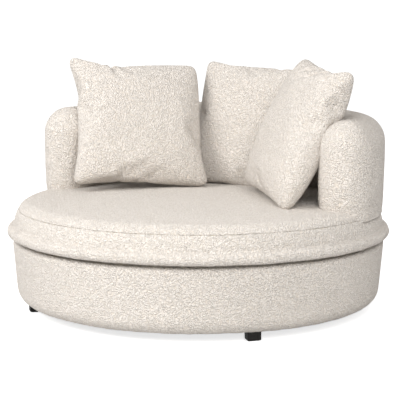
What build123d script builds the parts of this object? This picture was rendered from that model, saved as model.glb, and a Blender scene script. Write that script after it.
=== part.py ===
from build123d import *
from math import asin, cos, degrees, hypot, radians, sin, sqrt
import os

# A round loveseat: a drum base on four block feet, a padded roll round its rim,
# a domed fixed seat, a curved padded back on the rear of the seat, and three
# loose scatter cushions. Millimetres, +Z up, the front of the seat faces -Y,
# and the origin is on the floor on the axis of the drum.

# Cloth and fits
cloth = 4.0                 # looped cloth with its lining
fit = 0.3                   # gap between curved faces that meet
overrun = 20.0              # how far a cutter runs past what it cuts
tiny = 1e-6                 # ends closer than this count as one point

# Drum base
drum_radius = 700.0         # cloth face of the drum at its widest
underside_height = 29.0     # cloth underside above the floor
wall_lean_deg = 4.6         # the wall runs in towards the floor
shoulder_radius = 18.0      # round shoulder under the roll
shoulder_height = 280.0     # top of the shoulder, level with the deck
foot_curve_radius = 58.0    # round lower edge of the drum
flap_reach = 55.0           # how far the cloth runs in under the frame
lining_step_deg = 45.0      # hidden inner faces of the padding are cut flat in these steps

# Timber and plywood frame of the base
ply = 18.0
skin = 5.0                  # bent plywood skin
wall_padding = 40.0         # foam and cloth outside the skin
bottom_ring_width = 135.0
top_ring_width = 120.0
base_padding = 22.0         # foam and cloth under the bottom ring
rail_width = 45.0
rail_depth = 40.0
post_depth = 36.0           # posts, along the radius
post_width = 60.0           # posts, along the rim
post_step_deg = 26.0        # angle between posts
long_post_count = 7         # rear posts that carry the back
short_post_count = 6        # front posts that stop under the deck
post_slot_gap = 1.0

# Steel angle brackets at the foot of the rear posts
bracket_arm = 36.0
bracket_width = 40.0
bracket_gauge = 3.0

# Feet
foot_width = 50.0
foot_depth_top = 40.0
foot_depth_bottom = 35.0
foot_setback = 7.0          # from the frame's edge to the outer face of a foot
foot_bearing_deg = 47.4
foot_edge = 2.0             # eased edges
glide = 3.0                 # felt glide under each foot
glide_inset = 5.0
tenon_depth = 22.0          # square tenon of the foot, glued into the bottom ring
tenon_width = 28.0
dust_cloth = 1.5

# Rim roll
roll_overhang = 1.0         # centre of the roll, outside the drum's face
roll_radius = 21.0
roll_face_deg = 92.0        # the roll is round this far above and below its outermost line
roll_flange = 2.0           # cloth tail of the roll, stapled to the deck
roll_flange_reach = 27.0    # how far it runs in from the frame's edge

# Seat
seam_inset = 20.0           # stitched seam between border and top panel, inside the drum's face
seam_rise = 100.0           # height of the seam above the deck
seam_slope_deg = 60.0       # slope of the seat where the seam runs
border_radius = 143.0       # bulge of the border
edge_radius = 60.0          # round edge inside the seam
crown_radius = 12000.0      # gentle dome of the top panel
strap_width = 70.0
strap_thickness = 2.5
strap_pitch = 210.0
strap_count = 4
strap_slope = 26.0          # run over which a strap climbs another
strap_end_gap = 7.0         # ends of the straps to the posts
seat_foam_inset = 5.0       # foam's side, inside the seam

# Back
back_half = 97.0            # half its thickness; its outer face is level with the drum's
back_top_height = 730.0
back_straight = 73.0        # upright stretch below the round top
back_waist = 90.0           # half its thickness where it meets the seat
back_waist_rise = 5.0       # height of that place above the seat's seam
back_span_deg = 88.7        # from the rear middle to each round end
back_root_depth = 50.0      # its foam runs down this far under the seat's seam
back_seam_inset = 20.0      # seam between the outer panel and the rest
panel_span_deg = 84.0
panel_foot_rise = 50.0      # foot of the plywood panels above the seat's seam
back_rail_cover = 44.0      # padding over the top rail
spacer_height = 22.0

# Scatter cushions
cushion_width = 495.0
cushion_height = 512.0
cushion_thickness = 168.0
cushion_sag = 15.0          # how far each side is drawn in between its corners
cushion_seam = 22.0         # cloth and turned-in edge at the rim
filling_depth = 71.0        # half thickness of the filling at its middle
filling_bevel = 105.0       # run of the bevel round its face
zip_length = 360.0
zip_thickness = 3.0
zip_depth = 5.0
zip_inset = 2.0
rest_gap = 0.6              # cushion to seat and back

# Bearing of each cushion from the rear middle, distance of its centre from the
# back's inner face, how far its lower side rises from the crown's level, and its
# turn, lean and roll
left_bearing_deg, left_standoff, left_rise = -72.2, 160.7, 11.0
left_turn_deg, left_lean_deg, left_roll_deg = 43.8, 26.8, 3.1
middle_bearing_deg, middle_standoff, middle_rise = -0.4, 110.2, 3.8
middle_turn_deg, middle_lean_deg, middle_roll_deg = 6.2, 18.6, 2.6
right_bearing_deg, right_standoff, right_rise = 65.7, 155.8, -1.8
right_turn_deg, right_lean_deg, right_roll_deg = -43.5, 25.1, 1.4

# Shape of a cushion: how high each outline lies, how large it is, and how far
# its sides bow out, as shares of the half thickness and of the cushion's size
layer_height_shares = (0.0, 0.46, 0.78, 0.95, 1.0)
layer_size_shares = (1.0, 0.88, 0.68, 0.42, 0.2)
layer_bow_shares = (-1.0, 0.3, 1.1, 1.2, 0.7)

# Values worked out from the sizes above
deck_height = shoulder_height
skin_radius = drum_radius - wall_padding
frame_radius = skin_radius - skin
frame_underside = underside_height + base_padding
flap_radius = frame_radius - flap_reach
foot_outer_radius = frame_radius - foot_setback
roll_ring_radius = drum_radius + roll_overhang
roll_height = deck_height + roll_radius - roll_flange
roll_flange_radius = frame_radius - roll_flange_reach
seam_radius = drum_radius - seam_inset
seam_height = deck_height + seam_rise
seat_foam_radius = seam_radius - seat_foam_inset
back_ring_radius = drum_radius - back_half
back_waist_height = seam_height + back_waist_rise
back_root_height = seam_height - back_root_depth
back_seam_radius = drum_radius - back_seam_inset
panel_foot_height = seam_height + panel_foot_rise
post_inner_radius = back_ring_radius - post_depth / 2
strap_end_radius = post_inner_radius - strap_end_gap
ring_top = frame_underside + ply
strap_stack = 2 * (strap_thickness + fit)
post_outer_radius = post_inner_radius + post_depth
post_middle_radius = back_ring_radius
back_centre_height = back_top_height - back_half
rail_top = back_top_height - cloth - back_rail_cover
rail_underside = rail_top - ply
inner_panel_radius = post_inner_radius - fit
outer_panel_radius = hypot(post_outer_radius, post_width / 2) + fit
first_long_post = -post_step_deg * (long_post_count - 1) / 2
first_short_post = 180 - post_step_deg * (short_post_count - 1) / 2
long_post_bearings = [first_long_post + post_step_deg * k for k in range(long_post_count)]
short_post_bearings = [first_short_post + post_step_deg * k for k in range(short_post_count)]
foot_bearings = {
    "front_left": 180 + foot_bearing_deg,
    "front_right": 180 - foot_bearing_deg,
    "rear_left": -foot_bearing_deg,
    "rear_right": foot_bearing_deg,
}


def place(radius, height):
    return Vector(radius, 0, height)


def on_arc(centre, radius, angle):
    return centre + Vector(radius * cos(radians(angle)), 0, radius * sin(radians(angle)))


def arc(centre, radius, start, end):
    angles = (start, (start + end) / 2, end)
    return ThreePointArc(*[on_arc(centre, radius, angle) for angle in angles])


def section(edges):
    # joins the edges with straight lines where they don't meet, and fills them
    loop = []
    for index, edge in enumerate(edges):
        following = edges[(index + 1) % len(edges)]
        loop.append(edge)
        if (following @ 0 - edge @ 1).length > tiny:
            loop.append(Line(edge @ 1, following @ 0))
    return make_face(loop)


def lining(edges):
    # the same outline with each arc cut into a few straight runs
    runs = []
    for edge in edges:
        turn = (edge % 0).get_angle(edge % 1)
        count = max(1, round(turn / lining_step_deg))
        runs += [Line(edge @ (k / count), edge @ ((k + 1) / count)) for k in range(count)]
    return runs


def turned(face):
    return revolve(face, Axis.Z)


def block(r_in, r_out, low, high):
    return section([Line(place(r_in, low), place(r_out, low)), Line(place(r_out, high), place(r_in, high))])


def ring(r_in, r_out, low, high):
    return turned(block(r_in, r_out, low, high))


def arc_band(face, span):
    # turns a section about the axis, span degrees each side of the rear middle
    return Rot(Z=90 - span) * revolve(face, Axis.Z, 2 * span)


def toward(bearing):
    # bearing is counted from the rear middle, clockwise seen from above
    return Rot(Z=90 - bearing)


def group(solids):
    return Compound(children=[solid for item in solids for solid in item.solids()])


# Outline of the drum's cloth

def drum_outline(inset):
    # from the flat on the deck, over the shoulder, down the wall and under
    shoulder = place(drum_radius - shoulder_radius, shoulder_height - shoulder_radius)
    top, low, flap = shoulder_height - inset, underside_height + inset, flap_radius + inset
    lean = radians(wall_lean_deg)
    foot_height = underside_height + foot_curve_radius
    run = shoulder.Z - foot_height
    foot_inset = (shoulder_radius - foot_curve_radius) * cos(lean)
    foot = place(shoulder.X + foot_inset - run * sin(lean) / cos(lean), foot_height)
    return [
        Line(place(skin_radius + fit, top), place(shoulder.X, top)),
        arc(shoulder, shoulder_radius - inset, 90, -wall_lean_deg),
        arc(foot, foot_curve_radius - inset, -wall_lean_deg, -90),
        Line(place(foot.X, low), place(flap, low)),
        Line(place(flap, low), place(flap, frame_underside - fit)),
    ]


def reverse(edges):
    return [edge.reversed() for edge in reversed(edges)]


def foot_pockets():
    size = (foot_depth_top + 2 * fit, foot_width + 2 * fit, frame_underside)
    middle = foot_outer_radius - foot_depth_top / 2
    pocket = Pos(middle, 0, frame_underside / 2) * Box(*size)
    return [toward(bearing) * pocket for bearing in foot_bearings.values()]


def base_cover():
    outer = drum_outline(0)
    inner = lining(drum_outline(cloth))
    shell = turned(section(outer + reverse(inner)))
    for pocket in foot_pockets():
        shell -= pocket
    return shell


def base_foam():
    outline = lining(drum_outline(cloth + fit))
    inner_corner = place(skin_radius + fit, frame_underside - fit)
    inner_side = Line(inner_corner, outline[0] @ 0)
    foam = turned(section(outline + [inner_side]))
    for pocket in foot_pockets():
        foam -= pocket
    return foam


# Base frame

def post_slots(bearings, low, high):
    size = (post_depth + 2 * post_slot_gap, post_width + 2 * post_slot_gap, high - low)
    slot = Pos(post_middle_radius, 0, (low + high) / 2) * Box(*size)
    return [toward(bearing) * slot for bearing in bearings]


def tenon(gap):
    size = (tenon_depth + 2 * gap, tenon_width + 2 * gap, ply)
    return Pos(foot_outer_radius - foot_depth_top / 2, 0, frame_underside + ply / 2) * Box(*size)


def bottom_ring():
    plate = ring(frame_radius - bottom_ring_width, frame_radius, frame_underside, ring_top)
    for bearing in foot_bearings.values():
        plate -= toward(bearing) * tenon(fit)
    return plate


def top_ring():
    plate = ring(frame_radius - top_ring_width, frame_radius, deck_height - ply, deck_height)
    for slot in post_slots(long_post_bearings, deck_height - ply - overrun, deck_height + overrun):
        plate -= slot
    return plate


def rail(lap_up):
    # two rails cross in a half lap on the middle of the bottom ring
    length = 2 * (post_inner_radius - post_slot_gap)
    beam = Pos(0, 0, ring_top + rail_depth / 2) * Box(length, rail_width, rail_depth)
    half_depth = rail_depth / 2
    lap_height = ring_top + half_depth / 2 + (half_depth if lap_up else 0)
    notch = Pos(0, 0, lap_height) * Box(rail_width + fit, rail_width + overrun, half_depth)
    return beam - notch


def post(bearing, high):
    size = (post_depth, post_width, high - ring_top)
    timber = Pos(post_middle_radius, 0, (ring_top + high) / 2) * Box(*size)
    return toward(bearing) * timber


def base_skin():
    return ring(frame_radius, skin_radius, frame_underside, deck_height)


def post_brackets():
    # an angle bracket on the bottom ring against each rear post that no rail meets
    heel = place(post_inner_radius, ring_top)
    toe, top = heel - place(bracket_arm, 0), heel + place(0, bracket_arm)
    inner = heel + place(-bracket_gauge, bracket_gauge)
    profile = make_face(Polyline(
        heel, toe, toe + place(0, bracket_gauge), inner, top - place(bracket_gauge, 0), top, close=True))
    bracket = extrude(profile, bracket_width / 2, both=True)
    return group([toward(bearing) * bracket for bearing in long_post_bearings if bearing])


# Feet

def foot():
    outer = foot_outer_radius
    profile = make_face(Polyline(
        place(outer, glide), place(outer, frame_underside),
        place(outer - foot_depth_top, frame_underside), place(outer - foot_depth_bottom, glide), close=True))
    block_foot = extrude(profile, foot_width / 2, both=True)
    block_foot = chamfer(block_foot.edges().filter_by(Axis.Y, reverse=True), foot_edge)
    return block_foot + tenon(0)


def foot_glide():
    depth = foot_depth_bottom - 2 * glide_inset
    centre = foot_outer_radius - foot_depth_bottom / 2
    return Pos(centre, 0, glide / 2) * Box(depth, foot_width - 2 * glide_inset, glide)


def round_the_feet(solid):
    return group([toward(bearing) * solid for bearing in foot_bearings.values()])


def dust_cover():
    return Pos(0, 0, frame_underside - dust_cloth / 2) * Cylinder(flap_radius - fit, dust_cloth)


# Rim roll

def roll_outline():
    # round where it shows, flat where it lies on the deck's edge and the border's foot
    centre = place(roll_ring_radius, roll_height)
    face = arc(centre, roll_radius, -roll_face_deg, roll_face_deg)
    back = arc(centre, roll_radius, roll_face_deg, 360 - roll_face_deg)
    return section([face] + lining([back]))


def roll_core(radius):
    # the filling is a strip of foam with its corners cut off
    centre = place(roll_ring_radius, roll_height)
    return section(lining([arc(centre, radius, 0, 180), arc(centre, radius, 180, 360)]))


def roll_cover():
    flange = block(roll_flange_radius, roll_ring_radius, deck_height, deck_height + roll_flange)
    return turned(roll_outline() + flange - roll_core(roll_radius - cloth))


def roll_filling():
    return turned(roll_core(roll_radius - cloth - fit))


# Seat

def seat_centres():
    seam = place(seam_radius, seam_height)
    border = on_arc(seam, -border_radius, 90 - seam_slope_deg)
    edge = on_arc(seam, -edge_radius, 90 - seam_slope_deg)
    crown_turn = degrees(asin(edge.X / (crown_radius - edge_radius)))
    crown = on_arc(edge, -(crown_radius - edge_radius), 90 - crown_turn)
    return border, edge, crown, crown_turn


def seat_outline(inset):
    border, edge, crown, crown_turn = seat_centres()
    border_foot_turn = degrees(asin((roll_height + roll_radius + fit - border.Z) / border_radius))
    return [
        arc(border, border_radius - inset, border_foot_turn, 90 - seam_slope_deg),
        arc(edge, edge_radius - inset, 90 - seam_slope_deg, 90 - crown_turn),
        arc(crown, crown_radius - inset, 90 - crown_turn, 90),
    ]


def seat_region(inset):
    # everything under the seat's surface, down to the foot of the border
    outline = seat_outline(inset)
    foot = outline[0] @ 0
    floor_line = Line(place(0, foot.Z), foot)
    return section([floor_line] + outline)


def seat_top_cover():
    outer = seat_outline(0)[1:]
    inner = lining(seat_outline(cloth)[1:])
    panel = turned(section(outer + reverse(inner)))
    for slot in post_slots(long_post_bearings, deck_height, seam_height + seam_radius - post_inner_radius):
        panel -= slot
    return panel


def seat_border_cover():
    outer = seat_outline(0)[:1]
    inner = seat_outline(cloth)[:1]
    return turned(section(outer + reverse(inner)))


def seat_foam():
    outline = lining(seat_outline(cloth + fit))
    low = deck_height + strap_stack + fit
    shelf = roll_height + roll_radius
    foot = outline[0] @ 0
    floor_line = Line(place(0, low), place(seat_foam_radius, low))
    side = Line(place(seat_foam_radius, shelf), foot)
    foam = turned(section([floor_line, side] + outline))
    for slot in post_slots(long_post_bearings, deck_height, seam_height + seam_radius - post_inner_radius):
        foam -= slot
    return foam


def strap(offset, first_over):
    # one webbing strap along X: flat on the deck, humped over every other strap
    half = sqrt(strap_end_radius ** 2 - (abs(offset) + strap_width / 2) ** 2)
    rise = strap_thickness + fit
    spine = [(-half, 0)]
    for k in range(strap_count):
        middle = strap_pitch * (k - (strap_count - 1) / 2)
        if (k % 2 == 0) == first_over:
            flat = strap_width / 2 + fit
            spine += [(middle - flat - strap_slope, 0), (middle - flat, rise)]
            spine += [(middle + flat, rise), (middle + flat + strap_slope, 0)]
    spine.append((half, 0))
    lower = [place(x, deck_height + z) for x, z in spine]
    upper = [place(x, deck_height + z + strap_thickness) for x, z in reversed(spine)]
    face = make_face(Polyline(*lower, *upper, close=True))
    return Pos(0, offset, 0) * extrude(face, strap_width / 2, both=True)


def webbing(across):
    straps = []
    for k in range(strap_count):
        offset = strap_pitch * (k - (strap_count - 1) / 2)
        band = strap(offset, (k % 2 == 0) != across)
        straps.append(mirror(band, Plane(origin=(0, 0, 0), z_dir=(1, -1, 0))) if across else band)
    return group(straps)


# Back

def back_half_outline(inset):
    # the outer half of the back's section, from the root up to the crest, with
    # the middle of its thickness at radius zero
    crest = place(0, back_centre_height)
    side = back_half - inset
    bend_height = back_centre_height - back_straight
    drop = bend_height - back_waist_height
    bend_radius = (drop ** 2 + (back_half - back_waist) ** 2) / (2 * (back_half - back_waist))
    bend_turn = degrees(asin(drop / bend_radius))
    bend = place(back_half - bend_radius, bend_height)
    return [
        arc(bend, bend_radius - inset, -bend_turn, 0),
        Line(place(side, bend_height), place(side, back_centre_height)),
        arc(crest, side, 0, 90),
    ]


def back_half_section(inset, plain):
    outline = lining(back_half_outline(inset)) if plain else back_half_outline(inset)
    foot = outline[0] @ 0
    root = Line(place(0, back_root_height), place(foot.X, back_root_height))
    return section([root] + outline)


def back_form(inset, plain):
    half_section = back_half_section(inset, plain)
    whole = half_section + mirror(half_section, Plane.YZ)
    body = arc_band(Pos(back_ring_radius, 0, 0) * whole, back_span_deg)
    end = revolve(half_section, Axis.Z)
    for side in (-1, 1):
        body += toward(side * back_span_deg) * Pos(back_ring_radius, 0, 0) * end
    return body


def seat_cutter():
    return turned(seat_region(-fit)) + ring(0, drum_radius + overrun, 0, seam_height - overrun)


def back_cover():
    return back_form(0, False) - back_form(cloth, True) - seat_cutter()


def back_inner_cover(shell):
    return shell - ring(back_seam_radius, drum_radius + overrun, 0, back_top_height + overrun)


def back_outer_cover(shell):
    return shell - ring(0, back_seam_radius, 0, back_top_height + overrun)


def back_foam():
    low_cut = turned(seat_region(-cloth))
    cavity = block(inner_panel_radius - skin - fit, outer_panel_radius + skin + fit, 0, rail_top + fit)
    foam = back_form(cloth + fit, True) - arc_band(cavity, panel_span_deg + fit) - low_cut
    return foam - ring(0, drum_radius + overrun, 0, seam_height - overrun)


def back_panel(r_in):
    return arc_band(block(r_in, r_in + skin, panel_foot_height, rail_underside), panel_span_deg)


def back_top_rail():
    face = block(inner_panel_radius - skin, outer_panel_radius + skin, rail_underside, rail_top)
    return arc_band(face, panel_span_deg)


def back_spacers():
    # curved blocks between the rear posts
    low = panel_foot_height
    half_gap = degrees(asin((post_width / 2 + fit) / post_inner_radius))
    face = block(post_inner_radius + fit, post_outer_radius, low, low + spacer_height)
    spacer = Rot(Z=-90) * arc_band(face, post_step_deg / 2 - half_gap)
    return group([toward(bearing + post_step_deg / 2) * spacer for bearing in long_post_bearings[:-1]])


# Cushions

def cushion_outline(width, height, bow, level):
    # four corners joined by arcs that bow out, or in where bow is negative
    x, y = width / 2, height / 2
    return Wire([
        ThreePointArc((-x, -y, level), (0, -y - bow, level), (x, -y, level)),
        ThreePointArc((x, -y, level), (x + bow, 0, level), (x, y, level)),
        ThreePointArc((x, y, level), (0, y + bow, level), (-x, y, level)),
        ThreePointArc((-x, y, level), (-x - bow, 0, level), (-x, -y, level)),
    ])


def cushion_form(width, height, thickness):
    layers = []
    for level, size, bow in zip(layer_height_shares, layer_size_shares, layer_bow_shares):
        height_here = level * thickness / 2
        layers.append(cushion_outline(width * size, height * size, cushion_sag * bow, height_here))
    half = Solid.make_loft(layers)
    return half + mirror(half, Plane.XY)


def filling_form(gap):
    # the filling inside the cover: a flat block with broad bevels
    width = cushion_width - 2 * (cushion_seam + gap)
    height = cushion_height - 2 * (cushion_seam + gap)
    face = Rectangle(width - 2 * filling_bevel, height - 2 * filling_bevel)
    half = loft([Rectangle(width, height).face(), (Pos(0, 0, filling_depth - gap) * face).face()])
    return half + mirror(half, Plane.XY)


def stand(form, bearing, standoff, rise, turn, lean, roll):
    spot = on_arc(Vector(0, 0, 0), back_ring_radius - back_half - standoff, 90 - bearing)
    height = seat_crown_height + cushion_height / 2 * cos(radians(lean)) + rise
    location = Pos(spot.X, spot.Z, height) * Rot(Z=turn) * Rot(X=-lean) * Rot(Y=roll) * Rot(X=90)
    return location * form


def zip_strip(outset):
    # closed zip in the seam of the lower side
    inner = zip_inset + zip_depth + outset
    outer = zip_inset - outset
    width, height = cushion_width, cushion_height
    band = make_face(cushion_outline(width - 2 * outer, height - 2 * outer, -cushion_sag, 0))
    band -= make_face(cushion_outline(width - 2 * inner, height - 2 * inner, -cushion_sag, 0))
    strip = extrude(band, zip_thickness / 2 + outset, both=True)
    reach = Box(zip_length + 2 * outset, height / 2, cushion_thickness)
    return strip & Pos(0, -height / 2, 0) * reach


def cushion_limits(gap):
    # what a cushion gives way to: the seat, and the back as a plain upright wall
    wall = block(back_ring_radius - back_half - gap, back_ring_radius, seam_height, back_centre_height)
    return turned(seat_region(-gap)), back_form(-gap, False) + arc_band(wall, back_span_deg)


seat_crown_height = (seat_outline(0)[-1] @ 1).Z

left_place = (
    left_bearing_deg, left_standoff, left_rise, left_turn_deg, left_lean_deg, left_roll_deg)
middle_place = (
    middle_bearing_deg, middle_standoff, middle_rise, middle_turn_deg, middle_lean_deg, middle_roll_deg)
right_place = (
    right_bearing_deg, right_standoff, right_rise, right_turn_deg, right_lean_deg, right_roll_deg)
cushion_places = {"left": left_place, "middle": middle_place, "right": right_place}


def cushion_parts():
    outer = cushion_form(cushion_width, cushion_height, cushion_thickness)
    cover = outer - filling_form(0) - zip_strip(fit)
    return cover, filling_form(fit), zip_strip(0)


def nodes():
    yield "base_bottom_ring", bottom_ring()
    yield "base_top_ring", top_ring()
    yield "base_rail_long", Rot(Z=90) * rail(True)
    yield "base_rail_cross", rail(False)
    for number, bearing in enumerate(short_post_bearings, 1):
        yield "base_post_%d" % number, post(bearing, deck_height - ply)
    yield "base_skin", base_skin()
    yield "post_brackets", post_brackets()
    yield "base_foam", base_foam()
    yield "base_cover", base_cover()
    yield "dust_cover", dust_cover()
    for name, bearing in foot_bearings.items():
        yield "foot_" + name, toward(bearing) * foot()
    yield "foot_glides", round_the_feet(foot_glide())
    yield "rim_roll_cover", roll_cover()
    yield "rim_roll_filling", roll_filling()
    yield "webbing_long", webbing(False)
    yield "webbing_cross", webbing(True)
    yield "seat_foam", seat_foam()
    yield "seat_border_cover", seat_border_cover()
    yield "seat_top_cover", seat_top_cover()
    for number, bearing in enumerate(long_post_bearings, 1):
        yield "back_post_%d" % number, post(bearing, rail_underside)
    yield "back_spacers", back_spacers()
    yield "back_inner_panel", back_panel(inner_panel_radius - skin)
    yield "back_outer_panel", back_panel(outer_panel_radius)
    yield "back_top_rail", back_top_rail()
    yield "back_foam", back_foam()
    shell = back_cover()
    yield "back_inner_cover", back_inner_cover(shell)
    yield "back_outer_cover", back_outer_cover(shell)
    seat_limit, back_limit = cushion_limits(rest_gap)
    deep_seat_limit, deep_back_limit = cushion_limits(rest_gap + cloth + fit)
    cover, filling, zip_closed = cushion_parts()
    for name, spot in cushion_places.items():
        yield "cushion_%s_cover" % name, stand(cover, *spot) - seat_limit - back_limit
        yield "cushion_%s_filling" % name, stand(filling, *spot) - deep_seat_limit - deep_back_limit
        yield "cushion_%s_zip" % name, stand(zip_closed, *spot)


os.makedirs("parts", exist_ok=True)
for node, shape in nodes():
    shape.label = node
    export_step(shape, "parts/" + node + ".step")
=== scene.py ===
from math import asin, cos, degrees, hypot, pi, radians, sin

import bmesh
import bpy
from mathutils import Matrix, Vector, noise
from mathutils.bvhtree import BVHTree


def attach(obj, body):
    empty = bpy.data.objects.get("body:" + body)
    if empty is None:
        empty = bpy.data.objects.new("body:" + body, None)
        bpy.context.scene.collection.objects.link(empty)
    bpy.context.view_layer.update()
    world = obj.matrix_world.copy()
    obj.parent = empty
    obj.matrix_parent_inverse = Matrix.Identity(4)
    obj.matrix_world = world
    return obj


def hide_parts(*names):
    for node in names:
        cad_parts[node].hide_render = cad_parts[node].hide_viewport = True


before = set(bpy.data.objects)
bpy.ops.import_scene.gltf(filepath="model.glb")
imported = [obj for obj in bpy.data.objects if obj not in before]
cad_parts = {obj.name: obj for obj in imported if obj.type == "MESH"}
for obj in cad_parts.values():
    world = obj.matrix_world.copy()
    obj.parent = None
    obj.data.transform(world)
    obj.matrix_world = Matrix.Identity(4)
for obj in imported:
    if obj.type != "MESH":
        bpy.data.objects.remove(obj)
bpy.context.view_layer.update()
scene = bpy.context.scene

# Camera
# A long lens at eye height, well back and to the right of the seat's front, looking
# slightly down.
camera_place = (2.8105, -4.8553, 1.2085)
camera_turn_deg = 30.0
camera_down_deg = 8.19
camera_lens = 134.1

camera_data = bpy.data.cameras.new("camera")
camera_data.lens = camera_lens
camera_data.clip_end = 600.0
camera = bpy.data.objects.new("camera", camera_data)
camera.location = camera_place
camera.rotation_euler = (radians(90 - camera_down_deg), 0, radians(camera_turn_deg))
scene.collection.objects.link(camera)
scene.camera = camera

# Light and surroundings
# A large soft lamp high on the left of the camera, a weaker one on the right and a
# pale room; floor and room are plain white to the camera.
key_power = 185.0
key_size = 2.6
key_place = (-2.3, -3.7, 3.3)
fill_power = 147.0
fill_size = 3.0
fill_place = (2.8, -3.5, 2.9)
lamp_target = Vector((0, 0, 0.4))
room_light = 0.58
floor_half = 250.0
floor_color = (0.68, 0.68, 0.68, 1)
floor_glow = 0.74


def soft_lamp(name, power, size, place):
    lamp_data = bpy.data.lights.new(name, "AREA")
    lamp_data.energy = power
    lamp_data.size = size
    lamp = bpy.data.objects.new(name, lamp_data)
    lamp.location = place
    lamp.rotation_euler = (lamp_target - Vector(place)).to_track_quat("-Z", "Y").to_euler()
    scene.collection.objects.link(lamp)


def seen_directly(tree):
    # 1 on what the camera, a gloss or a clear surface shows, 0 on what lights the object
    path = tree.nodes.new("ShaderNodeLightPath")
    mirrored = tree.nodes.new("ShaderNodeMath")
    mirrored.operation = "MAXIMUM"
    tree.links.new(path.outputs["Is Camera Ray"], mirrored.inputs[0])
    tree.links.new(path.outputs["Is Glossy Ray"], mirrored.inputs[1])
    clear = tree.nodes.new("ShaderNodeMath")
    clear.operation = "MAXIMUM"
    tree.links.new(mirrored.outputs[0], clear.inputs[0])
    tree.links.new(path.outputs["Is Transmission Ray"], clear.inputs[1])
    return clear.outputs[0]


soft_lamp("key_lamp", key_power, key_size, key_place)
soft_lamp("fill_lamp", fill_power, fill_size, fill_place)

room = bpy.data.worlds.new("room")
room.use_nodes = True
room_tree = room.node_tree
room_tree.nodes.clear()
lighting = room_tree.nodes.new("ShaderNodeBackground")
lighting.inputs["Color"].default_value = (1.0, 0.99, 0.98, 1)
lighting.inputs["Strength"].default_value = room_light
backdrop = room_tree.nodes.new("ShaderNodeBackground")
backdrop.inputs["Strength"].default_value = 1.0
backdrop.inputs["Color"].default_value = (1, 1, 1, 1)
room_mix = room_tree.nodes.new("ShaderNodeMixShader")
room_out = room_tree.nodes.new("ShaderNodeOutputWorld")
room_tree.links.new(seen_directly(room_tree), room_mix.inputs["Fac"])
room_tree.links.new(lighting.outputs[0], room_mix.inputs[1])
room_tree.links.new(backdrop.outputs[0], room_mix.inputs[2])
room_tree.links.new(room_mix.outputs[0], room_out.inputs["Surface"])
scene.world = room
scene.view_settings.view_transform = "Standard"

floor_mesh = bpy.data.meshes.new("floor")
floor_build = bmesh.new()
bmesh.ops.create_grid(floor_build, x_segments=1, y_segments=1, size=floor_half)
floor_build.to_mesh(floor_mesh)
floor_build.free()
floor = bpy.data.objects.new("floor", floor_mesh)
scene.collection.objects.link(floor)
floor_paint = bpy.data.materials.new("floor_paint")
floor_paint.use_nodes = True
floor_tree = floor_paint.node_tree
floor_tree.nodes.clear()
floor_diffuse = floor_tree.nodes.new("ShaderNodeBsdfDiffuse")
floor_diffuse.inputs["Color"].default_value = floor_color
glow = floor_tree.nodes.new("ShaderNodeEmission")
glow.inputs["Color"].default_value = (1, 1, 1, 1)
glow_level = floor_tree.nodes.new("ShaderNodeMath")
glow_level.operation = "MULTIPLY"
glow_level.inputs[1].default_value = floor_glow
floor_tree.links.new(seen_directly(floor_tree), glow_level.inputs[0])
floor_tree.links.new(glow_level.outputs[0], glow.inputs["Strength"])
floor_add = floor_tree.nodes.new("ShaderNodeAddShader")
floor_out = floor_tree.nodes.new("ShaderNodeOutputMaterial")
floor_tree.links.new(floor_diffuse.outputs[0], floor_add.inputs[0])
floor_tree.links.new(glow.outputs[0], floor_add.inputs[1])
floor_tree.links.new(floor_add.outputs[0], floor_out.inputs["Surface"])
floor_mesh.materials.append(floor_paint)

# Drum cover
# One long strip of looped cream cloth over foam on the round plywood wall, pulled
# in under the rim roll and round the lower edge, and stapled under the frame.
cloth = 0.004
drum_radius = 0.700
drum_floor = 0.029
drum_top = 0.280
drum_lean_deg = 4.6
shoulder_radius = 0.018
foot_curve_radius = 0.058
drum_deck_inner = 0.6603
groove_depth = 0.013        # the cloth is drawn down under the roll before it turns out
groove_inner = 0.668
groove_lean = 0.003
drum_flap_radius = 0.602
gather_depth = 0.0016       # gathers where the cloth turns under, and how high they reach
gather_reach = 0.07
wall_wave = 0.0022          # unevenness of the drum's wall
drum_steps = 540
loop_size = 0.0058          # one loop of the cloth
curl_size = 0.0082          # loops lie over into short curls
loop_clump = 0.014          # and gather in clumps
clump_share = 0.45          # how much the clumps add to the loops' height
loop_depth = 0.0050
cream = (0.885, 0.825, 0.763, 1)
# painted shade: the darker colour given to the hollows between the cloth's loops
cream_hollow_shade = (0.70, 0.625, 0.54, 1)


def start_finish(name, roughness):
    # a material with its node tree, its shader and the place on the piece
    finish = bpy.data.materials.new(name)
    finish.use_nodes = True
    tree = finish.node_tree
    shader = tree.nodes["Principled BSDF"]
    shader.inputs["Roughness"].default_value = roughness
    spot = tree.nodes.new("ShaderNodeTexCoord")
    return finish, tree, shader, spot.outputs["Object"]


def blend_colors(tree, shader, factor, low, high):
    # the surface goes from the low colour to the high one as the factor rises
    colors = tree.nodes.new("ShaderNodeMix")
    colors.data_type = "RGBA"
    colors.inputs["A"].default_value = low
    colors.inputs["B"].default_value = high
    tree.links.new(factor, colors.inputs["Factor"])
    tree.links.new(colors.outputs["Result"], shader.inputs["Base Color"])


def raise_relief(tree, shader, height, strength, distance):
    # the surface stands up where the height is large
    bump = tree.nodes.new("ShaderNodeBump")
    bump.inputs["Strength"].default_value = strength
    bump.inputs["Distance"].default_value = distance
    tree.links.new(height, bump.inputs["Height"])
    tree.links.new(bump.outputs["Normal"], shader.inputs["Normal"])


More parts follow.
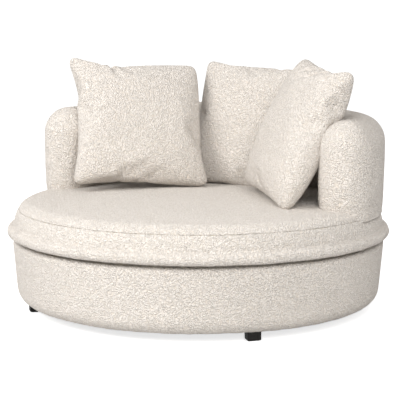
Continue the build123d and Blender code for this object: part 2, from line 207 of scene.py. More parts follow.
def looped_cloth(name, light, hollow_shade):
    # loops and short curls in uneven clumps; the hollows between them get painted shade, a darker colour
    # where the relief is low
    cover, tree, shader, spot = start_finish(name, 0.92)
    nodes, links = tree.nodes, tree.links
    shader.inputs["Specular IOR Level"].default_value = 0.18
    shader.inputs["Sheen Weight"].default_value = 0.25
    shader.inputs["Sheen Roughness"].default_value = 0.6
    stray = nodes.new("ShaderNodeTexNoise")
    stray.inputs["Scale"].default_value = 0.55 / loop_size
    stray.inputs["Detail"].default_value = 1.0
    links.new(spot, stray.inputs["Vector"])
    offset = nodes.new("ShaderNodeVectorMath")
    offset.operation = "MULTIPLY_ADD"
    offset.inputs[1].default_value = (loop_size, loop_size, loop_size)
    links.new(stray.outputs["Color"], offset.inputs[0])
    links.new(spot, offset.inputs[2])
    loops = nodes.new("ShaderNodeTexVoronoi")
    loops.feature = "F1"
    loops.inputs["Scale"].default_value = 1 / loop_size
    links.new(offset.outputs[0], loops.inputs["Vector"])
    clumps = nodes.new("ShaderNodeTexNoise")
    clumps.inputs["Scale"].default_value = 1 / loop_clump
    clumps.inputs["Detail"].default_value = 3.0
    clumps.inputs["Roughness"].default_value = 0.6
    links.new(spot, clumps.inputs["Vector"])
    dome = nodes.new("ShaderNodeMapRange")
    dome.inputs["From Min"].default_value = 0.75
    dome.inputs["From Max"].default_value = 0.1
    links.new(loops.outputs["Distance"], dome.inputs["Value"])
    curls = nodes.new("ShaderNodeTexNoise")
    curls.inputs["Scale"].default_value = 1 / curl_size
    curls.inputs["Detail"].default_value = 1.0
    links.new(spot, curls.inputs["Vector"])
    middle = nodes.new("ShaderNodeMath")
    middle.operation = "SUBTRACT"
    middle.inputs[1].default_value = 0.5
    links.new(curls.outputs["Fac"], middle.inputs[0])
    aside = nodes.new("ShaderNodeMath")
    aside.operation = "ABSOLUTE"
    links.new(middle.outputs[0], aside.inputs[0])
    curl = nodes.new("ShaderNodeMapRange")
    curl.inputs["From Min"].default_value = 0.11
    curl.inputs["From Max"].default_value = 0.0
    curl.inputs["To Max"].default_value = 0.5
    links.new(aside.outputs[0], curl.inputs["Value"])
    pile = nodes.new("ShaderNodeMath")
    pile.operation = "ADD"
    links.new(dome.outputs["Result"], pile.inputs[0])
    links.new(curl.outputs["Result"], pile.inputs[1])
    height = nodes.new("ShaderNodeMath")
    height.operation = "MULTIPLY_ADD"
    height.inputs[1].default_value = clump_share
    links.new(clumps.outputs["Fac"], height.inputs[0])
    links.new(pile.outputs[0], height.inputs[2])
    raise_relief(tree, shader, height.outputs[0], 1.0, loop_depth)
    # painted shade: the colour darkens towards the hollow colour where the relief is low
    shade = nodes.new("ShaderNodeMapRange")
    shade.inputs["From Min"].default_value = 0.15
    shade.inputs["From Max"].default_value = 1.1
    links.new(height.outputs[0], shade.inputs["Value"])
    blend_colors(tree, shader, shade.outputs["Result"], hollow_shade, light)
    return cover


cover_cloth = looped_cloth("cover_cloth", cream, cream_hollow_shade)


def start_outline(build, radius, height):
    return build.verts.new((radius, 0, height))


def run_on(build, tip, radius, height, cuts):
    # carries a section's outline on in a straight line, in a number of cuts
    step = (Vector((radius, 0, height)) - tip.co) / cuts
    made = bmesh.ops.spin(build, geom=[tip], cent=(0, 0, 0), axis=(0, 0, 1), dvec=step, angle=0, steps=cuts)
    return made["geom_last"][0]


def bend_on(build, tip, centre, turn_deg, cuts):
    # carries it on round an arc; a positive turn is clockwise in the section
    pivot = (centre[0], 0, centre[1])
    made = bmesh.ops.spin(build, geom=[tip], cent=pivot, axis=(0, 1, 0), angle=radians(turn_deg), steps=cuts)
    return made["geom_last"][0]


def turn_round(build, steps):
    bmesh.ops.spin(
        build, geom=build.verts[:] + build.edges[:], cent=(0, 0, 0), axis=(0, 0, 1),
        angle=2 * pi, steps=steps, use_merge=True)
    bmesh.ops.remove_doubles(build, verts=build.verts[:], dist=1e-6)
    bmesh.ops.recalc_face_normals(build, faces=build.faces[:])


def finish_piece(name, build, material, body, slot_name, fill, *stands_for):
    # a mesh becomes a finished piece: smooth, clothed, riding on its body
    for face in build.faces:
        face.smooth = True
    mesh = bpy.data.meshes.new(name)
    build.to_mesh(mesh)
    build.free()
    mesh.materials.append(material)
    piece = bpy.data.objects.new(name, mesh)
    scene.collection.objects.link(piece)
    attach(piece, body)
    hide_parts(*stands_for)
    return piece


def press(build, depth_at):
    # sinks each point along its own normal by what depth_at says
    build.normal_update()
    moves = [(vert, vert.normal * depth_at(vert.co)) for vert in build.verts]
    for vert, move in moves:
        vert.co -= move


def ring_noise(point, along, across, seed):
    # smooth unevenness, stretched along the rim or across it
    bearing = Vector((point.x, point.y, 0)).normalized() if hypot(point.x, point.y) > 1e-6 else Vector()
    around = bearing * (0.7 / along)
    return noise.noise(Vector((around.x, around.y, point.z / across + seed)))


shoulder = Vector((drum_radius - shoulder_radius, drum_top - groove_depth - shoulder_radius))
foot_height = drum_floor + foot_curve_radius
foot_radius = (shoulder.x + (shoulder_radius - foot_curve_radius) * cos(radians(drum_lean_deg))
               - (shoulder.y - foot_height) * sin(radians(drum_lean_deg)) / cos(radians(drum_lean_deg)))
drum_build = bmesh.new()
tip = start_outline(drum_build, drum_deck_inner, drum_top)
tip = run_on(drum_build, tip, groove_inner, drum_top, 1)
tip = run_on(drum_build, tip, groove_inner + groove_lean, shoulder.y + shoulder_radius, 3)
tip = run_on(drum_build, tip, shoulder.x, shoulder.y + shoulder_radius, 2)
tip = bend_on(drum_build, tip, shoulder, 90 + drum_lean_deg, 7)
wall_foot = (foot_radius + foot_curve_radius * cos(radians(drum_lean_deg)),
             foot_height - foot_curve_radius * sin(radians(drum_lean_deg)))
tip = run_on(drum_build, tip, wall_foot[0], wall_foot[1], 22)
tip = bend_on(drum_build, tip, (foot_radius, foot_height), 90 - drum_lean_deg, 10)
tip = run_on(drum_build, tip, drum_flap_radius, drum_floor, 3)
turn_round(drum_build, drum_steps)


def drum_relief(point):
    # gathers where the cloth is pulled in below, and a slightly uneven wall
    low = max(0.0, 1 - (point.z - drum_floor) / gather_reach)
    gather = gather_depth * low * ring_noise(point, 0.028, 0.5, 3.0)
    return gather + wall_wave * ring_noise(point, 0.22, 0.12, 7.0)


press(drum_build, drum_relief)
finish_piece("drum_cover", drum_build, cover_cloth, "seat_frame", "cover_cloth", 0.8, "base_cover")

# Drum padding
# Foam glued round the plywood wall and under the bottom ring, just inside the cloth.
# The seat, the back and the roll are filled with the same foam.
padding_inner = 0.6603
padding_floor = 0.051
padding_gap = 0.004         # the foam's face lies this far inside its drawn line
foam_pores = 900.0          # pores to the metre
pore_depth = 0.0006


def cut_foam(name, pale, deep):
    # open-celled foam: fine pores, and a yellowing that drifts over the block
    foam, tree, shader, spot = start_finish(name, 0.97)
    shader.inputs["Specular IOR Level"].default_value = 0.1
    pores = tree.nodes.new("ShaderNodeTexVoronoi")
    pores.inputs["Scale"].default_value = foam_pores
    tree.links.new(spot, pores.inputs["Vector"])
    drift = tree.nodes.new("ShaderNodeTexNoise")
    drift.inputs["Scale"].default_value = 9.0
    drift.inputs["Detail"].default_value = 4.0
    tree.links.new(spot, drift.inputs["Vector"])
    blend_colors(tree, shader, drift.outputs["Fac"], deep, pale)
    raise_relief(tree, shader, pores.outputs["Distance"], 0.5, pore_depth)
    return foam


foam_finish = cut_foam("cut_foam", (0.80, 0.74, 0.56, 1), (0.66, 0.57, 0.37, 1))
padding_shoulder = shoulder_radius - cloth
padding_build = bmesh.new()
tip = start_outline(padding_build, padding_inner, padding_floor)
tip = run_on(padding_build, tip, padding_inner, drum_top - groove_depth - cloth, 1)
tip = run_on(padding_build, tip, shoulder.x, shoulder.y + padding_shoulder, 1)
tip = bend_on(padding_build, tip, shoulder, 90 + drum_lean_deg, 6)
tip = run_on(padding_build, tip, wall_foot[0] - cloth, wall_foot[1], 6)
tip = bend_on(padding_build, tip, (foot_radius, foot_height), 90 - drum_lean_deg, 8)
bmesh.ops.contextual_create(padding_build, geom=[v for v in padding_build.verts if len(v.link_edges) == 1])
turn_round(padding_build, drum_steps // 2)
press(padding_build, lambda point: padding_gap)
finish_piece("drum_padding", padding_build, foam_finish, "seat_frame", "seat_padding", 0.8, "base_foam")


def give_finish(finish, *nodes):
    for name in nodes:
        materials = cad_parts[name].data.materials
        materials.clear()
        materials.append(finish)


give_finish(foam_finish, "seat_foam", "back_foam", "rim_roll_filling")

# Rim roll
# A round padded roll covered in the same cloth and stapled to the deck, with the
# seat's border standing on its inner side.
roll_ring = 0.701
roll_height = 0.299
roll_radius = 0.021
roll_pucker = 0.0012
roll_wave = 0.0016
roll_steps = 540

roll_build = bmesh.new()
tip = start_outline(roll_build, roll_ring, roll_height - roll_radius)
tip = bend_on(roll_build, tip, (roll_ring, roll_height), -360, 22)
turn_round(roll_build, roll_steps)


def roll_relief(point):
    return roll_pucker * ring_noise(point, 0.03, 0.2, 11.0) + roll_wave * ring_noise(point, 0.11, 0.2, 5.0)


press(roll_build, roll_relief)
finish_piece("rim_roll", roll_build, cover_cloth, "seat_frame", "cover_cloth", 0.9, "rim_roll_cover")

# Seat border and top panel
# The border bulges up from the roll to a seam, where it is topstitched to the round
# top panel; both lie over a slab of foam that makes the seat slightly domed.
seam_radius = 0.680
seam_height = 0.380
seam_slope_deg = 60.0
border_radius = 0.143
edge_radius = 0.060
crown_radius = 12.0
seam_depth = 0.0016
seam_width = 0.006
seam_pucker = 0.0014        # small puckers from the stitches, and how far they reach
pucker_reach = 0.035
border_wave = 0.0016
top_wave = 0.003
top_wave_length = 0.16
flare_radius = 0.016        # the border's foot turns out on to the roll
flare_deg = 62.0
flare_lift = 0.0085
crisp_deg = 50.0            # a seam's edge turns sharper than this
seat_steps = 480


def seam_offset(distance):
    # a point on the normal at the seam, inwards by the distance
    slope = radians(90 - seam_slope_deg)
    return Vector((seam_radius - distance * cos(slope), seam_height - distance * sin(slope)))


border_centre = seam_offset(border_radius)
edge_centre = seam_offset(edge_radius)
border_foot_deg = degrees(asin((roll_height + roll_radius + flare_lift - border_centre.y) / border_radius))
crown_deg = degrees(asin(edge_centre.x / (crown_radius - edge_radius)))
crown_height = edge_centre.y - (crown_radius - edge_radius) * cos(radians(crown_deg)) + crown_radius


def seam_groove(point):
    # the valley along the seam, with small puckers from its stitches
    radius = hypot(point.x, point.y)
    away = hypot(radius - seam_radius, point.z - seam_height)
    valley = seam_depth * max(0.0, 1 - away / seam_width) ** 2
    pucker = seam_pucker * max(0.0, 1 - away / pucker_reach) * ring_noise(point, 0.016, 0.3, 2.0)
    return valley + pucker


def keep_seams_crisp(build):
    # the cloth's turned-in edges don't shade into its face
    for edge in build.edges:
        edge.smooth = len(edge.link_faces) == 2 and edge.calc_face_angle() < radians(crisp_deg)


def border_relief(point):
    return seam_groove(point) + border_wave * ring_noise(point, 0.16, 0.1, 9.0)


border_build = bmesh.new()
tip = start_outline(
    border_build, border_centre.x + border_radius * cos(radians(border_foot_deg)),
    border_centre.y + border_radius * sin(radians(border_foot_deg)))
foot_turn = Vector((cos(radians(border_foot_deg)), sin(radians(border_foot_deg))))
flare_centre = Vector((tip.co.x, tip.co.z)) + foot_turn * flare_radius
bend_on(border_build, tip, flare_centre, -flare_deg, 5)
tip = bend_on(border_build, tip, border_centre, -(90 - seam_slope_deg - border_foot_deg), 14)
inner_seam = seam_offset(cloth)
tip = run_on(border_build, tip, inner_seam.x, inner_seam.y, 1)
bend_on(border_build, tip, border_centre, 90 - seam_slope_deg - border_foot_deg, 5)
bmesh.ops.contextual_create(border_build, geom=[v for v in border_build.verts if len(v.link_edges) == 1])
turn_round(border_build, seat_steps)
press(border_build, border_relief)
keep_seams_crisp(border_build)
finish_piece(
    "seat_border", border_build, cover_cloth, "seat_frame", "cover_cloth", 0.8, "seat_border_cover")


def top_relief(point):
    # the sat-on middle is a touch uneven; the rim keeps its line
    radius = hypot(point.x, point.y)
    middle = max(0.0, 1 - radius / seam_radius)
    wave = noise.noise(Vector((point.x / top_wave_length, point.y / top_wave_length, 1.5)))
    return seam_groove(point) + top_wave * middle * wave


top_build = bmesh.new()
tip = start_outline(top_build, 0, crown_height)
tip = bend_on(top_build, tip, (0, crown_height - crown_radius), crown_deg, 40)
tip = bend_on(top_build, tip, edge_centre, seam_slope_deg - crown_deg, 12)
tip = run_on(top_build, tip, inner_seam.x, inner_seam.y, 1)
tip = bend_on(top_build, tip, edge_centre, -(seam_slope_deg - crown_deg), 5)
tip = bend_on(top_build, tip, (0, crown_height - crown_radius), -crown_deg, 8)
turn_round(top_build, seat_steps)
press(top_build, top_relief)
keep_seams_crisp(top_build)
finish_piece(
    "seat_top", top_build, cover_cloth, "seat_frame", "cover_cloth", 0.8, "seat_top_cover")

# Back covers
# A thick padded back with a round crest and round ends. The inner cover goes over
# the crest to a seam on the outside, where the plain outer cover takes over.
back_ring = 0.603
back_half = 0.097
back_top = 0.730
back_straight = 0.073
back_waist = 0.090
back_waist_height = 0.385
back_span_deg = 88.7
back_foot_height = 0.372
back_seam_radius = 0.680
back_seam_depth = 0.0010
crest_clear = 0.02          # the seam stays this far below the crest
fold_depth = 0.0028
fold_reach = 0.16           # tension folds die out this far above the waist
fold_long = 0.09
fold_high = 0.022
back_wave = 0.0034          # unevenness of the face, and how long and high its waves are
wave_long = 0.17
wave_high = 0.13
back_steps = 300
end_steps = 36

crest_height = back_top - back_half
bend_height = crest_height - back_straight
waist_drop = bend_height - back_waist_height
waist_radius = (waist_drop ** 2 + (back_half - back_waist) ** 2) / (2 * (back_half - back_waist))
waist_deg = degrees(asin(waist_drop / waist_radius))


def half_outline(build):
    # from the crest down the outer side to the foot, about the middle of the back
    tip = start_outline(build, 0, back_top)
    tip = bend_on(build, tip, (0, crest_height), 90, 14)
    tip = run_on(build, tip, back_half, bend_height, 7)
    tip = bend_on(build, tip, (back_half - waist_radius, bend_height), waist_deg, 12)
    return run_on(build, tip, back_waist, back_foot_height, 1)


back_build = bmesh.new()
half_outline(back_build)
outline = back_build.verts[:] + back_build.edges[:]
bmesh.ops.mirror(back_build, geom=outline, axis="X", merge_dist=1e-6)
ring_place = Matrix.Translation((back_ring, 0, 0))
start_place = Matrix.Rotation(radians(90 - back_span_deg), 4, "Z") @ ring_place
bmesh.ops.transform(back_build, matrix=start_place, verts=back_build.verts[:])
bmesh.ops.spin(
    back_build, geom=back_build.verts[:] + back_build.edges[:], cent=(0, 0, 0), axis=(0, 0, 1),
    angle=radians(2 * back_span_deg), steps=back_steps)
for side in (-1, 1):
    end_build = bmesh.new()
    half_outline(end_build)
    bmesh.ops.spin(
        end_build, geom=end_build.verts[:] + end_build.edges[:], cent=(0, 0, 0), axis=(0, 0, 1),
        angle=-side * pi, steps=end_steps)
    end_place = Matrix.Rotation(radians(90 - side * back_span_deg), 4, "Z") @ ring_place
    bmesh.ops.transform(end_build, matrix=end_place, verts=end_build.verts[:])
    end_mesh = bpy.data.meshes.new("back_end")
    end_build.to_mesh(end_mesh)
    end_build.free()
    back_build.from_mesh(end_mesh)
    bpy.data.meshes.remove(end_mesh)
bmesh.ops.remove_doubles(back_build, verts=back_build.verts[:], dist=1e-4)
bmesh.ops.recalc_face_normals(back_build, faces=back_build.faces[:])


def back_relief(point):
    # a valley along the seam, level tension folds low down and a soft, slightly
    # uneven face everywhere
    away = abs(hypot(point.x, point.y) - back_seam_radius)
    on_side = point.z < back_top - crest_clear
    valley = back_seam_depth * max(0.0, 1 - away / seam_width) ** 2 if on_side else 0.0
    low = max(0.0, 1 - (point.z - back_waist_height) / fold_reach)
    fold_spot = Vector((point.x / fold_long, point.y / fold_long, point.z / fold_high))
    wave_spot = Vector((point.x / wave_long, point.y / wave_long, point.z / wave_high))
    folds = fold_depth * low * noise.noise(fold_spot)
    face = back_wave * noise.noise(wave_spot)
    return valley + folds + face


press(back_build, back_relief)
back_mesh = bpy.data.meshes.new("back_whole")
back_build.to_mesh(back_mesh)
back_build.free()
back_shells = {"back_inner": ("back_inner_cover", lambda radius: radius < back_seam_radius),
               "back_outer": ("back_outer_cover", lambda radius: radius >= back_seam_radius)}
for name, (node, keeps) in back_shells.items():
    shell = bmesh.new()
    shell.from_mesh(back_mesh)
    strays = [f for f in shell.faces if not keeps(hypot(*f.calc_center_median().xy))]
    bmesh.ops.delete(shell, geom=strays, context="FACES")
    keep_seams_crisp(shell)
    piece = finish_piece(name, shell, cover_cloth, "seat_frame", "cover_cloth", 0.85, node)
    thickness = piece.modifiers.new("cloth", "SOLIDIFY")
    thickness.thickness = cloth
    thickness.offset = -1.0
bpy.data.meshes.remove(back_mesh)

# Scatter cushions
# Two squares of the cloth sewn face to face along their edges, turned and stuffed
# with loose fibre: the sides pull in between the corners and pucker at the seam.
cushion_thickness = 0.125
cushion_stuffing = 1.25     # how much the stuffing swells the sewn case
cushion_cells = 60
corner_share = 0.14         # how much of each half side its round corner takes
crown_power = 0.48          # how fast the case thickens from its seam
filling_depth = 0.009
cloth_frames = 20
cloth_reach = 0.06          # no point of the cloth moves further than this
rest_gap = 0.0012
rest_reach = 0.12           # points sunk deeper than this in a support are left alone
seam_dip = 0.35             # how far a fold draws the seam in, as a share of its depth
fold_share = 0.65           # no fold is deeper than this share of the cushion under it


def sewn_case(width, height, skew, corners):
    # two panels joined round their rim and part filled; corners are drawn in or out
    build = bmesh.new()
    across = build.verts.layers.float.new("across")
    upward = build.verts.layers.float.new("upward")
    for side in (-1, 1):
        made = bmesh.ops.create_grid(build, x_segments=cushion_cells, y_segments=cushion_cells, size=1)
        grid = made["verts"]
        for vert in grid:
            u, v = vert.co.x, vert.co.y
            vert[across], vert[upward] = u, v
            bulge = (max(0.0, 1 - u ** 4) * max(0.0, 1 - v ** 4)) ** crown_power
            flat = 1 - corner_share
            if abs(u) > flat and abs(v) > flat:
                past_u, past_v = (abs(u) - flat) / corner_share, (abs(v) - flat) / corner_share
                u = (flat + corner_share * past_u * (1 - past_v * past_v / 2) ** 0.5) * (1 if u > 0 else -1)
                v = (flat + corner_share * past_v * (1 - past_u * past_u / 2) ** 0.5) * (1 if v > 0 else -1)
            vert.co = (u * width / 2, v * height / 2, side * cushion_thickness / 2 * bulge)
            for corner_u, corner_v, pull_u, pull_v, puff in corners:
                near = max(0.0, u * corner_u) ** 4 * max(0.0, v * corner_v) ** 4
                lift = side * puff * bulge ** 0.3
                vert.co -= Vector((corner_u * pull_u, corner_v * pull_v, -lift)) * near
            vert.co.y += skew * vert.co.x
        if side < 0:
            bmesh.ops.reverse_faces(build, faces=list({f for v in grid for f in v.link_faces}))
    bmesh.ops.remove_doubles(build, verts=build.verts[:], dist=1e-5)
    bmesh.ops.recalc_face_normals(build, faces=build.faces[:])
    return build


def stuff(build):
    # blows the case up as stuffing does, with no weight on it
    mesh = bpy.data.meshes.new("stuffing")
    build.to_mesh(mesh)
    body = bpy.data.objects.new("stuffing", mesh)
    scene.collection.objects.link(body)
    before = [v.co.copy() for v in mesh.vertices]
    case = body.modifiers.new("cloth", "CLOTH")
    case.settings.use_pressure = True
    case.settings.uniform_pressure_force = 1.0
    case.settings.use_pressure_volume = True
    case.settings.target_volume = build.calc_volume() * cushion_stuffing
    case.settings.effector_weights.gravity = 0
    case.settings.tension_stiffness = 25
    case.settings.compression_stiffness = 25
    case.settings.shear_stiffness = 8
    case.settings.bending_stiffness = 0.6
    case.settings.mass = 0.15
    case.settings.quality = 6
    case.point_cache.frame_start = 1
    case.point_cache.frame_end = cloth_frames
    for step in range(1, cloth_frames + 1):
        scene.frame_set(step)
    swollen = body.evaluated_get(bpy.context.evaluated_depsgraph_get())
    after = [v.co.copy() for v in swollen.data.vertices]
    build.verts.ensure_lookup_table()
    for vert, old, new in zip(build.verts, before, after):
        move = new - old
        if move.length > cloth_reach:
            move *= cloth_reach / move.length
        vert.co = old + move
    bpy.data.objects.remove(body)
    bpy.data.meshes.remove(mesh)
    scene.frame_set(1)


def crease(build, start_u, start_v, end_u, end_v, depth, width):
    # a fold in the front that runs in from the seam and dies away; the seam dips there
    across = build.verts.layers.float["across"]
    upward = build.verts.layers.float["upward"]
    start, run = Vector((start_u, start_v)), Vector((end_u - start_u, end_v - start_v))
    inward = run.normalized()
    for vert in build.verts:
        away = Vector((vert[across], vert[upward])) - start
        along = min(1.0, max(0.0, away.dot(run) / run.length_squared))
        aside = (away - run * along).length / width
        fold = (1 - along) ** 0.6 * max(0.0, 1 - aside * aside) ** 2
        near_seam = max(abs(vert[across]), abs(vert[upward])) ** 10
        vert.co += Vector((inward.x, inward.y, 0)) * depth * seam_dip * fold * near_seam
        vert.co.z -= min(depth, fold_share * vert.co.z) * fold if vert.co.z > 0 else 0.0


def surface_of(node):
    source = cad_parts[node].data
    return BVHTree.FromPolygons([v.co for v in source.vertices], [p.vertices for p in source.polygons])


def is_inside(surface, point):
    up, count = Vector((0.08, 0.05, 1)).normalized(), 0
    hit = surface.ray_cast(point, up)[0]
    while hit is not None:
        count += 1
        hit = surface.ray_cast(hit + up * 1e-5, up)[0]
    return count % 2 == 1


cushion_spots = {
    "left": dict(
        middle=(-0.3355, 0.1045, 0.6690), turn=43.4, lean=28.0, roll=3.0,
        height=0.532, width=0.528, skew=-0.01,
        corners=[(-1, 1, -0.020, -0.026, 0.020), (1, 1, 0.012, 0.0, 0.006),
                 (-1, -1, -0.008, -0.010, 0.014), (1, -1, -0.016, 0.006, 0.010)],
        creases=[(-0.44, 1.02, -0.32, 0.62, 0.040, 0.075), (-0.47, 1.02, -0.62, 0.70, 0.014, 0.07),
                 (-0.36, -1.0, -0.22, -0.74, 0.020, 0.055), (-0.92, 0.92, -0.86, 0.68, 0.014, 0.05),
                 (1.0, -0.35, 0.72, -0.25, 0.008, 0.10)]),
    "right": dict(
        middle=(0.3540, 0.1170, 0.6690), turn=-44.5, lean=26.0, roll=1.2,
        height=0.548, width=0.540, skew=-0.05,
        corners=[(-1, 1, 0.0, 0.0, 0.004), (1, 1, -0.012, -0.018, 0.012),
                 (-1, -1, 0.002, 0.002, 0.004), (1, -1, 0.006, -0.006, 0.006)],
        creases=[(0.30, 1.02, -0.40, 0.50, 0.016, 0.07), (0.05, 1.02, -0.62, 0.55, 0.014, 0.06),
                 (-0.30, 1.02, -0.80, 0.62, 0.010, 0.06), (1.0, 0.70, 0.60, 0.78, 0.018, 0.06),
                 (-0.3, -1.0, -0.2, -0.7, 0.010, 0.10)]),
    "middle": dict(
        middle=(0.0193, 0.4010, 0.6500), turn=5.8, lean=18.9, roll=2.9,
        height=0.510, width=0.495, skew=-0.01,
        corners=[(-1, 1, -0.004, -0.006, 0.008), (1, 1, 0.0, 0.0, 0.004),
                 (-1, -1, 0.002, 0.002, 0.004), (1, -1, 0.002, 0.002, 0.004)],
        creases=[(0.35, 1.0, 0.25, 0.66, 0.012, 0.10), (0.1, -1.0, 0.05, -0.75, 0.010, 0.09),
                 (-1.0, 0.1, -0.75, 0.05, 0.008, 0.10)]),
}
supports = [surface_of("seat_top_cover"), surface_of("back_inner_cover")]
others = []
for name, spot in cushion_spots.items():
    build = sewn_case(spot["width"], spot["height"], spot["skew"], spot["corners"])
    stuff(build)
    for fold in spot["creases"]:
        crease(build, *fold)
    place = (Matrix.Translation(spot["middle"])
             @ Matrix.Rotation(radians(spot["turn"]), 4, "Z")
             @ Matrix.Rotation(radians(-spot["lean"]), 4, "X")
             @ Matrix.Rotation(radians(spot["roll"]), 4, "Y")
             @ Matrix.Rotation(radians(90), 4, "X"))
    bmesh.ops.transform(build, matrix=place, verts=build.verts[:])
    for vert in build.verts:
        for support in supports:
            point, normal = support.find_nearest(vert.co)[:2]
            if normal.dot(vert.co - point) < rest_gap and (vert.co - point).length < rest_reach:
                vert.co = point + normal * rest_gap
        for other in others:
            if is_inside(other, vert.co):
                point, normal = other.find_nearest(vert.co)[:2]
                vert.co = point + normal * rest_gap
    bmesh.ops.recalc_face_normals(build, faces=build.faces[:])
    others.append(BVHTree.FromBMesh(build))
    filling = build.copy()
    press(filling, lambda point: filling_depth)
    body = "cushion_" + name
    piece = finish_piece(body, build, cover_cloth, body, "cover_cloth", 0.7, body + "_cover", body + "_zip")
    rounding = piece.modifiers.new("rounding", "SUBSURF")
    rounding.levels = 1
    rounding.render_levels = 1
    finish_piece(body + "_stuffing", filling, cover_cloth, body, "cushion_fill", 0.7, body + "_filling")

# Zips
# A closed nylon zip in the lower seam of each case: woven tape with a row of fine
# teeth, sewn in along the seam so that the stuffing can be taken out.
zip_tape, zip_tree, zip_shader, zip_spot = start_finish("zip_tape", 0.55)
zip_teeth = zip_tree.nodes.new("ShaderNodeTexWave")
zip_teeth.inputs["Scale"].default_value = 320.0
zip_tree.links.new(zip_spot, zip_teeth.inputs["Vector"])
blend_colors(zip_tree, zip_shader, zip_teeth.outputs["Fac"], (0.62, 0.56, 0.47, 1), (0.84, 0.80, 0.73, 1))
give_finish(zip_tape, "cushion_left_zip", "cushion_middle_zip", "cushion_right_zip")

# Timber and plywood frame
# Rough-sawn softwood rails and posts between two plywood rings, with bent plywood
# skins round the drum and in the back; all of it is closed in by foam and cloth.
timber_ring = 0.011         # one year's growth
fibre_depth = 0.0005
timber_parts = ["base_rail_long", "base_rail_cross"]
timber_parts += ["base_post_%d" % number for number in range(1, 7)]
timber_parts += ["back_post_%d" % number for number in range(1, 8)]
plywood_parts = ["base_bottom_ring", "base_top_ring", "base_skin", "back_inner_panel", "back_outer_panel",
                 "back_top_rail", "back_spacers"]


def sawn_wood(name, pale, dark, stretch, ring, roughness):
    # growth rings drawn out along the board, broken by fine fibres
    wood, tree, shader, spot = start_finish(name, roughness)
    nodes, links = tree.nodes, tree.links
    along = nodes.new("ShaderNodeMapping")
    along.inputs["Scale"].default_value = stretch
    links.new(spot, along.inputs["Vector"])
    rings = nodes.new("ShaderNodeTexWave")
    rings.wave_type = "RINGS"
    rings.inputs["Scale"].default_value = 0.3 / ring
    rings.inputs["Distortion"].default_value = 5.0
    rings.inputs["Detail"].default_value = 3.0
    rings.inputs["Detail Scale"].default_value = 1.5
    links.new(along.outputs["Vector"], rings.inputs["Vector"])
    fibres = nodes.new("ShaderNodeTexNoise")
    fibres.inputs["Scale"].default_value = 160.0
    fibres.inputs["Detail"].default_value = 4.0
    links.new(along.outputs["Vector"], fibres.inputs["Vector"])
    grain = nodes.new("ShaderNodeMath")
    grain.operation = "MULTIPLY"
    links.new(rings.outputs["Fac"], grain.inputs[0])
    links.new(fibres.outputs["Fac"], grain.inputs[1])
    blend_colors(tree, shader, grain.outputs[0], pale, dark)
    raise_relief(tree, shader, fibres.outputs["Fac"], 0.3, fibre_depth)
    return wood


softwood = sawn_wood(
    "softwood", (0.74, 0.57, 0.36, 1), (0.45, 0.28, 0.13, 1), (1, 1, 0.12), timber_ring, 0.75)
plywood = sawn_wood(
    "plywood", (0.70, 0.53, 0.34, 1), (0.48, 0.33, 0.19, 1), (1, 1, 0.5), timber_ring * 3, 0.65)
give_finish(softwood, *timber_parts)
give_finish(plywood, *plywood_parts)

# Webbing, brackets and dust cloth
# Woven elastic straps carry the seat foam, zinc plated angles hold the back's posts,
# and thin black non-woven cloth is stapled under the frame.
strap_rib = 0.0022          # one rib of the weave
strap_relief = 0.0005
webbing_weave, strap_tree, strap_shader, strap_spot = start_finish("webbing_weave", 0.85)
strap_waves = []
for direction in ("X", "Y"):
    ribs = strap_tree.nodes.new("ShaderNodeTexWave")
    ribs.bands_direction = direction
    ribs.inputs["Scale"].default_value = 0.314 / strap_rib
    strap_tree.links.new(strap_spot, ribs.inputs["Vector"])
    strap_waves.append(ribs)
strap_weave = strap_tree.nodes.new("ShaderNodeMath")
strap_weave.operation = "MULTIPLY"
strap_tree.links.new(strap_waves[0].outputs["Fac"], strap_weave.inputs[0])
strap_tree.links.new(strap_waves[1].outputs["Fac"], strap_weave.inputs[1])
blend_colors(strap_tree, strap_shader, strap_weave.outputs[0], (0.30, 0.25, 0.18, 1), (0.62, 0.55, 0.43, 1))
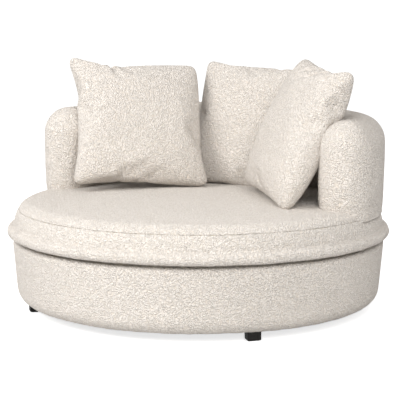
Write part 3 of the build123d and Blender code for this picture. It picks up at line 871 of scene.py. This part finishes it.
raise_relief(strap_tree, strap_shader, strap_weave.outputs[0], 0.5, strap_relief)


def speckled(name, light, dark, roughness, metallic, grain, depth):
    # an even finish with fine uneven grain: felt, pressed fibre or zinc plate
    finish, tree, shader, spot = start_finish(name, roughness)
    shader.inputs["Metallic"].default_value = metallic
    specks = tree.nodes.new("ShaderNodeTexNoise")
    specks.inputs["Scale"].default_value = 1 / grain
    specks.inputs["Detail"].default_value = 5.0
    specks.inputs["Roughness"].default_value = 0.65
    tree.links.new(spot, specks.inputs["Vector"])
    blend_colors(tree, shader, specks.outputs["Fac"], dark, light)
    gloss = tree.nodes.new("ShaderNodeMapRange")
    gloss.inputs["To Min"].default_value = roughness - 0.1
    gloss.inputs["To Max"].default_value = roughness + 0.1
    tree.links.new(specks.outputs["Fac"], gloss.inputs["Value"])
    tree.links.new(gloss.outputs["Result"], shader.inputs["Roughness"])
    raise_relief(tree, shader, specks.outputs["Fac"], 0.4, depth)
    return finish


zinc_plate = speckled(
    "zinc_plate", (0.66, 0.67, 0.69, 1), (0.48, 0.49, 0.52, 1), 0.38, 1.0, 0.006, 0.0001)
dust_cloth = speckled(
    "dust_cloth", (0.060, 0.060, 0.062, 1), (0.022, 0.022, 0.023, 1), 0.85, 0.0, 0.0016, 0.0004)
glide_felt = speckled(
    "glide_felt", (0.16, 0.155, 0.15, 1), (0.06, 0.06, 0.06, 1), 0.88, 0.0, 0.0012, 0.0006)
give_finish(webbing_weave, "webbing_long", "webbing_cross")
give_finish(zinc_plate, "post_brackets")
give_finish(dust_cloth, "dust_cover")
give_finish(glide_felt, "foot_glides")

# Feet
# Small blocks of hardwood, stained black and lacquered, glued into the bottom ring
# by square tenons and standing on felt.
foot_stain = sawn_wood(
    "foot_stain", (0.014, 0.013, 0.012, 1), (0.006, 0.005, 0.005, 1), (1, 1, 0.15), 0.006, 0.5)
foot_stain.node_tree.nodes["Principled BSDF"].inputs["Specular IOR Level"].default_value = 0.12
give_finish(foot_stain, "foot_front_left", "foot_front_right", "foot_rear_left", "foot_rear_right")
